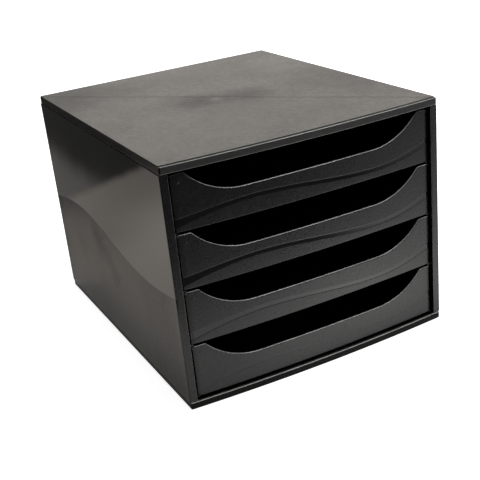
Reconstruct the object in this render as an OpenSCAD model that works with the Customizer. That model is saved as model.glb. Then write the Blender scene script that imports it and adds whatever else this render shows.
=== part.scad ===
// Letter tray stack: a moulded casing with four open-fronted drawers on moulded runners.
// Millimetres. +Z up, the front faces -Y, the origin is at the middle of the footprint on the desk.

/* [Overall size] */
// Width across the two side panels
overall_w = 286; // [240:1:340]
// Depth from the middle of the bowed front to the back edge
overall_d = 340; // [300:1:400]
// Height from the desk to the top face
overall_h = 234; // [190:1:300]
// How far the middle of the front stands ahead of its corners
front_bow = 5.5; // [3:0.5:12]

/* [Top and base panels] */
// Height of the rim that hangs down from the top panel
top_rim_h = 7.4; // [6:0.2:14]
// Height of the front rim that stands up from the base panel
base_rim_h = 6.9; // [5:0.1:12]
// Thickness of the flat plate in the top and base panels
plate_t = 2.5; // [1.8:0.1:3.5]
// Thickness of the rim at the sides and the back
rim_t = 2.2; // [1.6:0.1:3]
// Thickness of the rim at the front, which shows as a ledge
front_rim_t = 2.9; // [2:0.1:4]
// Radius of the panels' upright corners
panel_corner_r = 1.5; // [1:0.5:6]
// Thickness of the crossed ribs inside both panels
cross_rib_t = 1.4; // [1:0.1:2.5]
// Height of the crossed ribs inside both panels
cross_rib_h = 2; // [1:0.1:2.2]

/* [Side panels] */
// Wall thickness of a side panel
side_t = 2.6; // [2:0.1:4]
// How far the upper part of a side panel stands out past the top panel
side_proud = 0.6; // [0.2:0.1:2]
// Width of the post at a side panel's front edge, seen from the front
post_w = 7.7; // [5.5:0.1:12]
// Depth of the lip that turns back along the inside of the post
post_lip_d = 12; // [6:1:25]
// Thickness of the post's front and of its lip
post_t = 2; // [1.4:0.1:3]
// How far the posts stand back from the front of the top and base panels
post_recess = 0.6; // [0.4:0.2:5]
// Open joint line between a side panel and the panel above or below it
joint_line = 0.6; // [0.4:0.1:2]
// Open line between the base panel's front ledge and the posts
post_line = 0.4; // [0.2:0.1:1.5]
// Thickness of the tongue that slips inside the rim of the top and base panels
tongue_t = 2; // [1.4:0.1:3]
// How far the tongue's root runs down the inside of the side wall
tongue_root = 6; // [3:0.5:12]
// Number of snap hooks along each tongue
hook_count = 3; // [2:1:6]
// Length of one snap hook
hook_l = 18; // [8:1:30]
// Height of one snap hook
hook_h = 1.6; // [1:0.1:2]
// How far a snap hook stands out of its tongue
hook_out = 0.9; // [0.5:0.1:1.2]

/* [Wave on the side panels] */
// Depth of the step down below the wave
side_wave_step = 0.7; // [0.3:0.1:1.2]
// Height of the wave's middle line above the desk
side_wave_z = 117; // [70:1:170]
// Height of the wave above and below its middle line
side_wave_amp = 10.8; // [3:0.2:25]
// Length of one full wave
side_wave_l = 355; // [200:5:700]
// Place where the wave rises through its middle line, from the middle of the depth
side_wave_y = -6; // [-60:1:60]

/* [Runners] */
// Thickness of a runner
runner_t = 1.5; // [1:0.1:2]
// Distance between the facing edges of the left and right runners
runner_gap_w = 262; // [220:1:316]
// How far a runner's front end stands back from the front of the top panel
runner_recess = 4.6; // [4.5:0.1:12]
// How far the topmost runners' front ends stand back, out of sight
top_runner_recess = 20; // [10:1:60]

/* [Back panel] */
// Thickness of the back panel
back_t = 2; // [1.4:0.1:3]
// How far the lips that hold the back panel's edge reach in from the side walls
back_lip_w = 3.4; // [2.4:0.2:6]
// Thickness of the lip in front of the back panel's edge
back_lip_t = 1.5; // [1:0.1:3]
// Thickness of the upright ribs on the inside of the back panel
back_rib_t = 1.2; // [1:0.1:2]
// How far those ribs stand out of the back panel
back_rib_out = 1.2; // [0.6:0.1:1.8]
// Number of those ribs
back_rib_count = 4; // [2:1:8]

/* [Drawers] */
// Width of a drawer across its front
drawer_w = 266; // [228:1:325]
// Thickness of a drawer's front
front_t = 2.2; // [1.6:0.1:3]
// Thickness of a drawer's walls
drawer_wall_t = 1.8; // [1.2:0.1:2.4]
// Thickness of a drawer's floor
drawer_floor_t = 1.8; // [1.2:0.1:2.4]
// How far a drawer's side and rear walls stay below the top of its front
wall_drop = 3; // [1:0.5:12]
// How far a drawer's front stands back from the front of the top panel
front_recess = 3.6; // [3:0.1:6]
// Open gap from the top of one drawer front to the bottom of the next
front_gap = 2.7; // [2.2:0.1:5]
// Open gap from the base panel's rim to the lowest drawer
lowest_gap = 2.5; // [2:0.1:6]
// Open gap from the highest drawer's bay to the top panel's rim
highest_gap = 0.6; // [0.3:0.1:3]
// Width of the notch in each upper corner of a drawer's front
notch_w = 1.6; // [1:0.1:5]
// Height of that notch
notch_h = 1; // [0.5:0.1:3]
// How far a drawer slides out before its lugs meet the posts
drawer_travel = 250; // [150:5:260]
// How far a stop lug stands out of a drawer's wall
lug_out = 3.3; // [2.8:0.1:4]
// Length of a stop lug with its ramp
lug_l = 9; // [5:1:20]
// Height of a stop lug
lug_h = 20; // [8:1:30]

/* [Finger scoop in the drawer fronts] */
// Height of a drawer's front in the middle of the scoop
scoop_lip_h = 27.3; // [24:0.5:36]
// Half width of the scoop's straight bottom
scoop_flat_half = 67; // [30:1:80]
// Half width of the scoop at the top of the front
scoop_reach_half = 120; // [95:1:126]
// Radius that rounds the scoop's upper corners
scoop_corner_r = 3; // [1:0.5:5]

/* [Wave on the drawer fronts] */
// Depth of the sunk wave
wave_sink = 0.5; // [0.2:0.1:0.9]
// Place of the crest, from the middle of the front
wave_crest_x = -56; // [-80:1:-30]
// Place of the trough, from the middle of the front
wave_trough_x = 66; // [40:1:90]
// Heights of the wave's upper edge above the drawer's bottom: left end, crest, trough, right end
wave_upper = [11.6, 18, 10, 23.5];
// Heights of the wave's lower edge above the drawer's bottom: left end, crest, trough, right end
wave_lower = [3.8, 14.4, 6.5, 18.2];
// Rise of the wave's upper edge per millimetre at its left and right ends
wave_upper_rise = [0.11, 0.42];
// Rise of the wave's lower edge per millimetre at its left and right ends
wave_lower_rise = [0.25, 0.33];

/* [Feet] */
// Diameter of a foot
foot_d = 13; // [8:1:20]
// How far a foot stands out below the base panel
foot_proud = 0.6; // [0.5:0.1:2]
// Depth of the seat that a foot is pressed into
foot_seat = 1; // [0.5:0.1:1.4]
// Distance of a foot's centre from the side of the casing
foot_in_x = 24; // [12:1:60]
// Distance of a foot's centre from the front corners and from the back
foot_in_y = 26; // [12:1:60]

/* [Clearances] */
// Clearance between fixed pieces that slip together
fit_gap = 0.3; // [0.1:0.05:0.5]
// Clearance under a drawer where it rides on its runners
slide_gap = 0.3; // [0.1:0.05:0.5]
// Clearance between the drawer's rear wall and the back panel's ribs
rear_gap = 1.5; // [0.8:0.1:6]

/* [Hidden] */
DRAWERS = 4;

round_fn = 96;
bow_fn = 1440;
wave_steps = 40;
spare = 1;          // how far a cutting shape runs past the surface that it cuts

half_w = overall_w / 2;
back_y = overall_d / 2;
corner_y = front_bow - overall_d / 2;
bow_r = (half_w * half_w + front_bow * front_bow) / (2 * front_bow);
bow_y = -overall_d / 2 + bow_r;

panel_half = half_w - side_proud;
rim_in = panel_half - rim_t;
base_z = foot_proud;
base_top = base_z + base_rim_h;
rim_z = overall_h - top_rim_h;
side_z = base_top + post_line;
side_top = rim_z - joint_line;
side_h = side_top - side_z;
side_in = half_w - side_t;
post_in = half_w - post_w;

back_out = back_y - rim_t - fit_gap;
back_in = back_out - back_t;
back_half = min(side_in, rim_in) - fit_gap;

tongue_out = rim_in - fit_gap;
tongue_in = tongue_out - tongue_t;
tongue_top = overall_h - plate_t - fit_gap;
tongue_bottom = base_z + plate_t + fit_gap;
tongue_front = corner_y + post_recess + post_lip_d + fit_gap;
tongue_back = back_in - back_lip_t - 2 * fit_gap;
hook_top_z = rim_z + (top_rim_h - plate_t) / 2;
hook_base_z = (base_z + plate_t + side_z - joint_line) / 2;

bay_z = base_top + lowest_gap;
pitch = (rim_z - highest_gap - bay_z) / DRAWERS;
front_h = pitch - front_gap;
wall_h = front_h - wall_drop;
drawer_half = drawer_w / 2;
drawer_back = back_in - back_rib_out - rear_gap;
runner_half = runner_gap_w / 2;
runner_back = back_in - back_lip_t - fit_gap;
scoop_depth = front_h - scoop_lip_h;
scoop_run = scoop_reach_half - scoop_flat_half;
scoop_r = (scoop_run * scoop_run + scoop_depth * scoop_depth) / (2 * scoop_depth);
lug_y = corner_y + post_recess + post_lip_d + drawer_travel + slide_gap;

function drawer_z(n) = bay_z + (DRAWERS - n) * pitch;
function foot_place(x, y) =
    [x * (half_w - foot_in_x), y == 0 ? corner_y + foot_in_y : back_y - foot_in_y, 0];
function runner_z(level) = bay_z + level * pitch - slide_gap - runner_t;
function hook_y(i) = tongue_front + (tongue_back - tongue_front) * (i + 0.5) / hook_count - hook_l / 2;

// Height of a smooth curve between two knots [place, height, rise], at place x
function eased(a, b, x) =
    let (l = b[0] - a[0], t = (x - a[0]) / l)
    a[1] * (1 + t * t * (2 * t - 3)) + b[1] * t * t * (3 - 2 * t)
    + a[2] * l * t * (1 - t) * (1 - t) - b[2] * l * t * t * (1 - t);

// Height of one edge of the drawer fronts' wave at place x
function wave_z(h, rise, x) =
    let (left = [-drawer_half, h[0], rise[0]], crest = [wave_crest_x, h[1], 0],
         trough = [wave_trough_x, h[2], 0], right = [drawer_half, h[3], rise[1]])
    x < wave_crest_x ? eased(left, crest, x) : x < wave_trough_x ? eased(crest, trough, x)
    : eased(trough, right, x);

// Everything behind the bowed front, set back by inset
module behind_bow(inset) {
    translate([0, bow_y]) circle(r = bow_r - inset, $fn = bow_fn);
}

// Cuts a corner back to an arc of radius r round c, between the directions a1 and a2 in degrees
module corner_cut(c, r, a1, a2) {
    reach = 2 * r + spare;
    translate(c) difference() {
        polygon([[0, 0], reach * [cos(a1), sin(a1)],
                 reach * 1.5 * [cos((a1 + a2) / 2), sin((a1 + a2) / 2)], reach * [cos(a2), sin(a2)]]);
        circle(r = r, $fn = round_fn);
    }
}

// Plan of the top and base panels: a rectangle with a bowed front and round corners
module panel_plan() {
    cx = panel_half - panel_corner_r;
    cy = bow_y - sqrt(pow(bow_r - panel_corner_r, 2) - cx * cx);
    lean = asin(cx / (bow_r - panel_corner_r));
    difference() {
        intersection() {
            translate([-panel_half, -overall_d / 2 - spare]) square([2 * panel_half, overall_d + spare]);
            behind_bow(0);
        }
        for (side = [0, 1]) mirror([side, 0]) {
            corner_cut([cx, cy], panel_corner_r, -90 + lean, 0);
            corner_cut([cx, back_y - panel_corner_r], panel_corner_r, 0, 90);
        }
    }
}

// Plan of the hollow inside the rim of the top and base panels
module panel_hollow() {
    intersection() {
        translate([-rim_in, -overall_d / 2]) square([2 * rim_in, overall_d - rim_t]);
        behind_bow(front_rim_t);
    }
}

// The two crossed ribs from corner to corner, kept clear of the side panels and the back panel
module cross_ribs() {
    rib_half = tongue_in - fit_gap;
    rib_front = tongue_front;
    rib_back = back_in - back_rib_out - fit_gap;
    run = [2 * rib_half, rib_back - rib_front];
    intersection() {
        translate([-rib_half, rib_front]) square(run);
        translate([0, (rib_front + rib_back) / 2])
            for (side = [-1, 1]) rotate(side * atan2(run[1], run[0]))
                square([norm(run), cross_rib_t], true);
    }
}

// Pockets in the two side rims that the snap hooks sit in, round the height z
module hook_pockets(z) {
    for (side = [0, 1]) mirror([side, 0, 0])
        for (i = [0 : hook_count - 1])
            translate([rim_in - spare, hook_y(i) - fit_gap, z - hook_h / 2 - fit_gap])
                cube([spare + hook_out, hook_l + 2 * fit_gap, hook_h + 2 * fit_gap]);
}

module top_panel() {
    color([0.2, 0.2, 0.19]) {
        difference() {
            translate([0, 0, rim_z]) linear_extrude(top_rim_h) panel_plan();
            translate([0, 0, rim_z - spare]) linear_extrude(top_rim_h - plate_t + spare) panel_hollow();
            hook_pockets(hook_top_z);
        }
        translate([0, 0, overall_h - plate_t - cross_rib_h]) linear_extrude(cross_rib_h) cross_ribs();
    }
}

module base_panel() {
    seat_d = foot_d + fit_gap;
    color([0.2, 0.2, 0.19]) {
        difference() {
            translate([0, 0, base_z]) linear_extrude(base_rim_h) panel_plan();
            translate([0, 0, base_z + plate_t]) linear_extrude(base_rim_h) panel_hollow();
            side_rim_cut();
            hook_pockets(hook_base_z);
            for (x = [-1, 1]) for (y = [0, 1])
                translate(foot_place(x, y) + [0, 0, base_z - spare])
                    cylinder(d = seat_d, h = foot_seat + spare, $fn = round_fn);
        }
        translate([0, 0, base_z + plate_t]) linear_extrude(cross_rib_h) cross_ribs();
    }
}

// The base panel's side and back rims stop one joint line below the side panels
module side_rim_cut() {
    rim_front = corner_y + post_recess;
    translate([-half_w, rim_front, side_z - joint_line]) difference() {
        cube([overall_w, back_y - rim_front + spare, joint_line + spare]);
        translate([half_w - rim_in, -spare, -spare]) cube([2 * rim_in, post_lip_d, joint_line + 3 * spare]);
    }
}

// Plan of the right side panel: wall, front post with its lip, and the lips that hold the back panel
module side_plan() {
    post_back = corner_y + post_recess + post_lip_d;
    intersection() {
        behind_bow(post_recess);
        union() {
            translate([side_in, -overall_d / 2]) square([side_t, overall_d]);
            translate([post_in, -overall_d / 2]) square([post_t, overall_d / 2 + post_back]);
            difference() {
                translate([post_in, -overall_d / 2]) square([post_w, overall_d / 2 + post_back]);
                behind_bow(post_recess + post_t);
            }
        }
    }
    for (span = [[back_in - fit_gap - back_lip_t, back_in - fit_gap], [back_out + fit_gap, back_y]])
        translate([side_in - back_lip_w, span[0]])
            square([back_lip_w + side_t / 2, span[1] - span[0]]);
}

// Tongue with its hooks; z is where it leaves the wall, way is 1 upwards and -1 downwards
module tongue(z, end_z, hook_z, way) {
    root_z = z - way * tongue_root;
    run = tongue_back - tongue_front;
    translate([tongue_in, tongue_front, min(root_z, end_z)]) cube([tongue_t, run, abs(end_z - root_z)]);
    translate([tongue_in, tongue_front, min(root_z, z)])
        cube([side_in - tongue_in + side_t / 2, run, tongue_root]);
    for (i = [0 : hook_count - 1])
        translate([tongue_out, hook_y(i) + hook_l, hook_z]) rotate([90, 0, 0]) linear_extrude(hook_l)
            polygon([[-tongue_t / 2, -hook_h / 2], [-tongue_t / 2, hook_h / 2],
                     way > 0 ? [0, hook_h / 2] : [hook_out, hook_h / 2],
                     way > 0 ? [hook_out, -hook_h / 2] : [0, -hook_h / 2]]);
}

// The step along the side panel's wave, cut out of the outer face from the wave to the lower edge
module side_wave_cut() {
    points = [for (i = [0 : wave_steps])
        let (y = -overall_d / 2 + i * overall_d / wave_steps)
        [y, side_wave_z + side_wave_amp * sin(360 * (y - side_wave_y) / side_wave_l)]];
    translate([half_w - side_wave_step, 0, 0]) rotate([90, 0, 90]) linear_extrude(side_wave_step + spare)
        polygon(concat(points, [[back_y + spare, points[wave_steps][1]], [back_y + spare, 0],
                                [-overall_d / 2 - spare, 0], [-overall_d / 2 - spare, points[0][1]]]));
}

module runner(level) {
    recess = level == DRAWERS ? top_runner_recess : runner_recess;
    translate([0, 0, runner_z(level)]) linear_extrude(runner_t) intersection() {
        behind_bow(recess);
        translate([runner_half, -overall_d / 2])
            square([side_in - runner_half + side_t / 2, overall_d / 2 + runner_back]);
    }
}

module side_panel() {
    color([0.16, 0.16, 0.15]) {
        difference() {
            translate([0, 0, side_z]) linear_extrude(side_h) side_plan();
            side_wave_cut();
        }
        tongue(side_top, tongue_top, hook_top_z, 1);
        tongue(side_z, tongue_bottom, hook_base_z, -1);
        for (level = [0 : DRAWERS]) runner(level);
    }
}

function back_rib_x(i) = runner_gap_w * (i / (back_rib_count + 1) - 0.5);

module back_panel() {
    color([0.18, 0.18, 0.17]) {
        translate([-back_half, back_in, tongue_bottom])
            cube([2 * back_half, back_t, tongue_top - tongue_bottom]);
        for (i = [1 : back_rib_count])
            translate([back_rib_x(i) - back_rib_t / 2, back_in - back_rib_out, tongue_bottom])
                cube([back_rib_t, back_rib_out + back_t / 2, tongue_top - tongue_bottom]);
    }
}

// What the scoop takes out of a drawer's front, seen from the front
module scoop_outline() {
    translate([-scoop_flat_half, scoop_lip_h]) square([2 * scoop_flat_half, front_h]);
    for (side = [-1, 1])
        translate([side * scoop_flat_half, scoop_lip_h + scoop_r]) circle(r = scoop_r, $fn = 2 * round_fn);
}

// What rounds the scoop's upper corners, seen from the front
module scoop_corners() {
    corner_z = front_h - scoop_corner_r;
    rise = scoop_lip_h + scoop_r - corner_z;
    corner_x = scoop_flat_half + sqrt(pow(scoop_r + scoop_corner_r, 2) - rise * rise);
    for (side = [0, 1]) mirror([side, 0])
        corner_cut([corner_x, corner_z], scoop_corner_r, 90, atan2(rise, scoop_flat_half - corner_x));
}

// Notches in a front's upper corners, seen from the front
module notches() {
    for (side = [0, 1]) mirror([side, 0])
        translate([drawer_half - notch_w, front_h - notch_h]) square([notch_w + spare, notch_h + spare]);
}

// The wave band on a drawer's front, seen from the front
module wave_outline() {
    last = drawer_half + spare;
    places = [for (i = [0 : wave_steps]) -last + i * 2 * last / wave_steps];
    polygon(concat([for (x = places) [x, wave_z(wave_upper, wave_upper_rise, x)]],
                   [for (i = [wave_steps : -1 : 0])
                       let (x = places[i]) [x, wave_z(wave_lower, wave_lower_rise, x)]]));
}

// Stands a flat outline up across the front of the drawer, run out past it on both sides
module upright() {
    translate([0, corner_y + front_recess + front_t + spare, 0]) rotate([90, 0, 0])
        linear_extrude(front_bow + front_recess + front_t + 2 * spare) children();
}

// Plan of a drawer's front: a strip of even thickness along the bow
module front_plan() {
    difference() {
        intersection() {
            translate([-drawer_half, -overall_d / 2]) square([drawer_w, overall_d / 2]);
            behind_bow(front_recess);
        }
        behind_bow(front_recess + front_t);
    }
}

// Plan of a drawer's tray, from the middle of its front's thickness to its rear wall
module tray_plan() {
    intersection() {
        translate([-drawer_half, -overall_d / 2]) square([drawer_w, overall_d / 2 + drawer_back]);
        behind_bow(front_recess + front_t / 2);
    }
}

// Plan of the space between a drawer's walls, run out past its front
module tray_hollow() {
    translate([-drawer_half + drawer_wall_t, -overall_d / 2 - spare])
        square([drawer_w - 2 * drawer_wall_t, overall_d / 2 + spare + drawer_back - drawer_wall_t]);
}

// Stop lug: square at its front, ramped at its rear so that the drawer can be pushed in past the posts
module stop_lug() {
    translate([drawer_half - drawer_wall_t / 2, lug_y, (wall_h - lug_h) / 2]) linear_extrude(lug_h)
        polygon([[0, 0], [drawer_wall_t / 2 + lug_out, 0], [drawer_wall_t / 2 + lug_out, lug_l / 4],
                 [drawer_wall_t / 2, lug_l], [0, lug_l]]);
}

module drawer(n) {
    color([0.15, 0.15, 0.15]) translate([0, 0, drawer_z(n)]) {
        difference() {
            linear_extrude(front_h) front_plan();
            upright() scoop_outline();
            upright() scoop_corners();
            upright() notches();
            difference() {
                upright() wave_outline();
                linear_extrude(front_h) behind_bow(front_recess + wave_sink);
            }
        }
        difference() {
            linear_extrude(wall_h) tray_plan();
            translate([0, 0, drawer_floor_t]) linear_extrude(wall_h) tray_hollow();
        }
        for (side = [0, 1]) mirror([side, 0, 0]) stop_lug();
    }
}

module foot(x, y) {
    color([0.08, 0.08, 0.08]) translate(foot_place(x, y))
        cylinder(d = foot_d, h = foot_proud + foot_seat, $fn = round_fn);
}

top_panel();
base_panel();
mirror([1, 0, 0]) side_panel();  // left_side_panel
side_panel();  // right_side_panel
back_panel();
drawer(1);  // drawer_1
drawer(2);  // drawer_2
drawer(3);  // drawer_3
drawer(4);  // drawer_4
foot(-1, 0);  // foot_front_left
foot(1, 0);  // foot_front_right
foot(-1, 1);  // foot_rear_left
foot(1, 1);  // foot_rear_right
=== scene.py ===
"""Letter tray stack with drawers: moulded pieces, plastic finishes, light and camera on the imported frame."""

import math

import bmesh
import bpy
from bpy.props import FloatProperty, FloatVectorProperty, IntProperty, PointerProperty
from mathutils import Matrix, Vector


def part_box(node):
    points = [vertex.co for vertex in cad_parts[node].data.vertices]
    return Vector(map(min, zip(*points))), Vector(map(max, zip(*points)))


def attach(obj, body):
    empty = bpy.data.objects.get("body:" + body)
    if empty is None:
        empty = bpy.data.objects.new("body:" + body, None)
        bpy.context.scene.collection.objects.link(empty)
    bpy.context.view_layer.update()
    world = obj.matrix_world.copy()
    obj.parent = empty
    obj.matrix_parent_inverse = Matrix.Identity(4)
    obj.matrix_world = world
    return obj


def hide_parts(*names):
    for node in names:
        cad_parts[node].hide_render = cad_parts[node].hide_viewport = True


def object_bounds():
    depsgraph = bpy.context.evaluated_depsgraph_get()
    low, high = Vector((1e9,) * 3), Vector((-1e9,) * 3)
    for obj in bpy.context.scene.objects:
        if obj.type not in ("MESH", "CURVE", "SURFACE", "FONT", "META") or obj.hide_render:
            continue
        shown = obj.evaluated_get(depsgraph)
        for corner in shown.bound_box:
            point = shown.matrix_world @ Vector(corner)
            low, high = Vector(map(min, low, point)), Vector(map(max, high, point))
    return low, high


bl_info = {
    "name": "Letter Tray Stack",
    "version": (1, 0, 0),
    "blender": (4, 5, 0),
    "location": "View3D > Sidebar > Tray Stack",
    "description": "Builds a letter tray stack with drawers, piece by piece, and lights it",
    "category": "Object",
}

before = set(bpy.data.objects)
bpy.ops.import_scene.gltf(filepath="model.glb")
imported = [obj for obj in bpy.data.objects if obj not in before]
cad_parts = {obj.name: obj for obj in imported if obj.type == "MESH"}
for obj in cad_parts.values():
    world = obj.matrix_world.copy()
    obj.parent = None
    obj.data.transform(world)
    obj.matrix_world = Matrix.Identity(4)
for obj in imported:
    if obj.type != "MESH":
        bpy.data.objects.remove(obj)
LOW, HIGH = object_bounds()
TOP_LOW, TOP_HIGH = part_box("top_panel")
BASE_LOW, BASE_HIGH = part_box("base_panel")
BACK_LOW, BACK_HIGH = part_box("back_panel")
DRAWERS = ("drawer_1", "drawer_2", "drawer_3", "drawer_4")
FEET = ("foot_front_left", "foot_front_right", "foot_rear_left", "foot_rear_right")

# Faces across a panel's bowed front, along a side panel and up to its wave, and round a foot
FRONT_FACES, SIDE_FACES, WAVE_ROWS, FOOT_FACES = 48, 72, 10, 48
# Clearance between fixed pieces that slip together, and the least round on a thin edge
FIT, FINE = 0.0003, 0.0002
# Corner radius inside a panel's rim, at its root and at its edge
ROOT_CORNER, RIM_CORNER = 0.0004, 0.0006
# From a panel's rim to the end of a crossed rib, height of that rib, and what it loses at its two ends
RIB_INSET, RIB_HEIGHT, RIB_LOSS = 0.0046, 0.002, 0.012
# Thickness of a tongue, length of its free part, and middle and half height of its root
TONGUE, TONGUE_REACH, ROOT_MIDDLE, ROOT_HALF = 0.002, 0.006, 0.003, 0.0029
# Slots that hold the back panel: how far they reach in and how thick their jaws are
SLOT_REACH, SLOT_JAW = 0.0034, 0.0015
# Thickness of the back panel's ribs, and their number
BACK_RIB, BACK_RIBS = 0.0012, 4
# How far the runners' front ends stand back, and those of the topmost pair
RUNNER_BACK, TOP_RUNNER_BACK = 0.0046, 0.02
# Length over which a side panel's step fades out at its two ends
STEP_FADE = 0.012
# Stop lugs: front end, end of the ramp, back end, half height and root inside the wall
LUG_FRONT, LUG_RAMP, LUG_BACK, LUG_HALF, LUG_ROOT = 0.0984, 0.1007, 0.1074, 0.01, 0.0009
# Upper and lower edge of the wave on a drawer's front: its heights at the left end, the crest, the trough and
# the right end, and how steeply it rises at the two ends
WAVE_UPPER = (0.0116, 0.018, 0.010, 0.0235), (0.11, 0.42)
WAVE_LOWER = (0.0038, 0.0144, 0.0065, 0.0182), (0.25, 0.33)
# Width of the soft step at the wave's edges, and length of the round at the front's two ends
WAVE_LIP, END_ROUND = 0.00025, 0.0005


# Sizes and colours that a user would change

def length(name, default, description):
    """A length in metres."""
    return FloatProperty(name=name, default=default, description=description, unit="LENGTH")


def power(name, default, description):
    """A lamp's power, or the strength of a light."""
    return FloatProperty(name=name, default=default, description=description, min=0)


def colour(name, default, description):
    """A colour, in linear red, green and blue."""
    return FloatVectorProperty(name=name, default=default, description=description, subtype="COLOR",
                               size=3, min=0, max=1)


class CasingSizes(bpy.types.PropertyGroup):
    """Sizes of the top, base, side and back panels."""

    bow: length("Front bow", 0.0055, "How far the middle of the front stands ahead of its corners")
    plate: length("Plate", 0.0025, "Thickness of the flat plate in the top and base panels")
    rim: length("Rim", 0.0022, "Thickness of the rim at the sides and the back")
    front_rim: length("Front rim", 0.0029, "Thickness of the rim at the front")
    corner: length("Corner radius", 0.0015, "Radius of the panels' upright corners")
    bevel: length("Side bevel", 0.0007, "Width of the bevel along the top panel's side and back edges")
    lower_edge: length("Lower edge round", 0.0004, "Radius of the top panel's lower edge")
    ledge: length("Front ledge", 0.0008, "Depth of the fine ledge along the top panel's front edge")
    ledge_width: length("Front ledge width", 0.0027, "Width of that ledge from front to back")
    arc_steps: IntProperty(name="Arc steps", default=6, min=2, max=24,
                           description="Faces in each rounded corner")
    rib: length("Rib", 0.0014, "Thickness of the crossed ribs inside the panels")
    side_wall: length("Side wall", 0.0026, "Wall thickness of a side panel")
    post: length("Post width", 0.0077, "Width of the post at a side panel's front edge")
    post_back: length("Post recess", 0.0006, "How far the posts stand back from the top panel's front")
    post_lip: length("Post lip", 0.012, "Depth of the lip along the inside of the post")
    post_edge: length("Post edge round", 0.0006, "Radius of the post's inner edge")
    post_wall: length("Post wall", 0.002, "Thickness of the post's front and of its lip")
    joint: length("Joint line", 0.0006, "Open line between a side panel and the panel above it")
    post_line: length("Post line", 0.0004, "Open line between the base panel's ledge and the posts")
    wave_step: length("Side wave step", 0.0007, "Depth of the step just below the wave on a side panel")
    wave_foot: length("Side wave foot", 0.0003, "Depth that is left of the step at the panel's lower edge")
    wave_z: length("Side wave height", 0.117, "Height of the wave's middle line")
    wave_swing: length("Side wave swing", 0.0108, "Height of the wave above and below its middle line")
    wave_length: length("Side wave length", 0.355, "Length of one full wave")
    wave_y: length("Side wave place", -0.006, "Where the wave rises through its middle line")
    runner: length("Runner", 0.0015, "Thickness of a runner")
    runner_gap: length("Runner gap", 0.262, "Distance between facing runners")
    slide: length("Slide clearance", 0.0003, "Clearance under a drawer where it rides on its runners")


class DrawerSizes(bpy.types.PropertyGroup):
    """Sizes of a drawer, its scoop and its wave."""

    width: length("Width", 0.266, "Width of a drawer across its front")
    front: length("Front", 0.0022, "Thickness of a drawer's front")
    wall: length("Wall", 0.0018, "Thickness of a drawer's walls and floor")
    wall_drop: length("Wall drop", 0.003, "How far the walls stay below the top of the front")
    recess: length("Front recess", 0.0036, "How far the front stands back from the top panel's front")
    lip: length("Scoop lip", 0.0273, "Height of the front in the middle of the scoop")
    scoop_flat: length("Scoop flat", 0.067, "Half width of the scoop's straight bottom")
    scoop_reach: length("Scoop reach", 0.12, "Half width of the scoop at the top")
    scoop_corner: length("Scoop corner", 0.003, "Radius of the scoop's upper corners")
    notch_width: length("Notch width", 0.0016, "Width of the notch in the front's upper corners")
    notch_height: length("Notch height", 0.001, "Height of that notch")
    wave_depth: length("Wave depth", 0.00012, "Depth of the polished wave in the front")
    wave_crest: length("Wave crest", -0.056, "Place of the wave's crest, from the middle of the front")
    wave_trough: length("Wave trough", 0.066, "Place of the wave's trough, from the middle of the front")
    edge: length("Edge round", 0.0008, "Radius of the front's upper edge")
    end_turn: length("End turn", 0.006, "Length over which the front's two ends curve back")
    end_drop: length("End drop", 0.0009, "How far the front's two ends curve back")
    mark_x: length("Gate mark place", -0.126, "Place of the small gate mark, from the middle of the front")
    mark_drop: length("Gate mark drop", 0.0074, "How far the gate mark lies below the top of the front")
    mark_radius: length("Gate mark radius", 0.0013, "Radius of the gate mark")


class Finishes(bpy.types.PropertyGroup):
    """Colours and grain of the plastics."""

    casing: colour("Casing", (0.016, 0.0155, 0.0145), "Top, base and back panels")
    side: colour("Side", (0.004, 0.0039, 0.0038), "Glossy side panels")
    drawer: colour("Drawer", (0.006, 0.006, 0.0062), "Drawers")
    # The edge colour is a painted highlight on the thin rounded edges
    edge: colour("Edge", (0.23, 0.228, 0.221), "Thin edges with a painted highlight")
    foot: colour("Foot", (0.02, 0.02, 0.02), "Rubber feet")
    grain: length("Grain size", 0.0015, "Size of the moulded grain on the casing")


class StageLight(bpy.types.PropertyGroup):
    """Lamps, room light and the camera's lens."""

    key: power("Key", 17.0, "Power of the lamp above the front right, in watts")
    fill: power("Fill", 9.0, "Power of the soft lamp overhead, in watts")
    right: power("Right", 15.0, "Power of the lamp at the right, in watts")
    back: power("Back", 29.5, "Power of the wide lamp behind, in watts")
    room: power("Room light", 0.07, "Strength of the soft light from all round")
    pool: length("Light pool", 0.42, "Where the floor starts to fade at the right in reflections")
    glow: power("Pool glow", 0.72, "Strength of the floor's light in reflections")
    dim: power("Dim floor", 0.05, "Strength of the unlit floor in reflections")
    lens: FloatProperty(name="Lens", subtype="DISTANCE_CAMERA", default=68.28,
                        description="Focal length in millimetres")
    floor: length("Floor", 6.0, "Side of the floor")


# Curves of the object

def bow_line(sizes, x, inset=0.0):
    """Depth of the bowed front at x, set back by inset."""
    half = HIGH.x
    radius = (half * half + sizes.bow * sizes.bow) / (2 * sizes.bow)
    return LOW.y + radius - math.sqrt((radius - inset) ** 2 - x * x)


def arc(x, y, radius, start, end, steps):
    """Points along an arc, with its angles in degrees."""
    angles = [math.radians(start + (end - start) * i / steps) for i in range(steps + 1)]
    return [(x + radius * math.cos(a), y + radius * math.sin(a)) for a in angles]


def ease(share):
    """A share from 0 to 1 with a soft start and end."""
    return share * share * (3 - 2 * share)


def curve_between(a, b, x):
    """Height at x of a smooth curve between two knots of place, height and rise."""
    run = b[0] - a[0]
    t = (x - a[0]) / run
    return (a[1] * (1 + t * t * (2 * t - 3)) + b[1] * t * t * (3 - 2 * t)
            + a[2] * run * t * (1 - t) ** 2 - b[2] * run * t * t * (1 - t))


def front_wave(sizes, x, knots, rises):
    """Height of one edge of the drawer front's wave at x."""
    left = (-sizes.width / 2, knots[0], rises[0])
    crest = (sizes.wave_crest, knots[1], 0.0)
    trough = (sizes.wave_trough, knots[2], 0.0)
    right = (sizes.width / 2, knots[3], rises[1])
    if x < crest[0]:
        return curve_between(left, crest, x)
    if x < trough[0]:
        return curve_between(crest, trough, x)
    return curve_between(trough, right, x)


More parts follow.
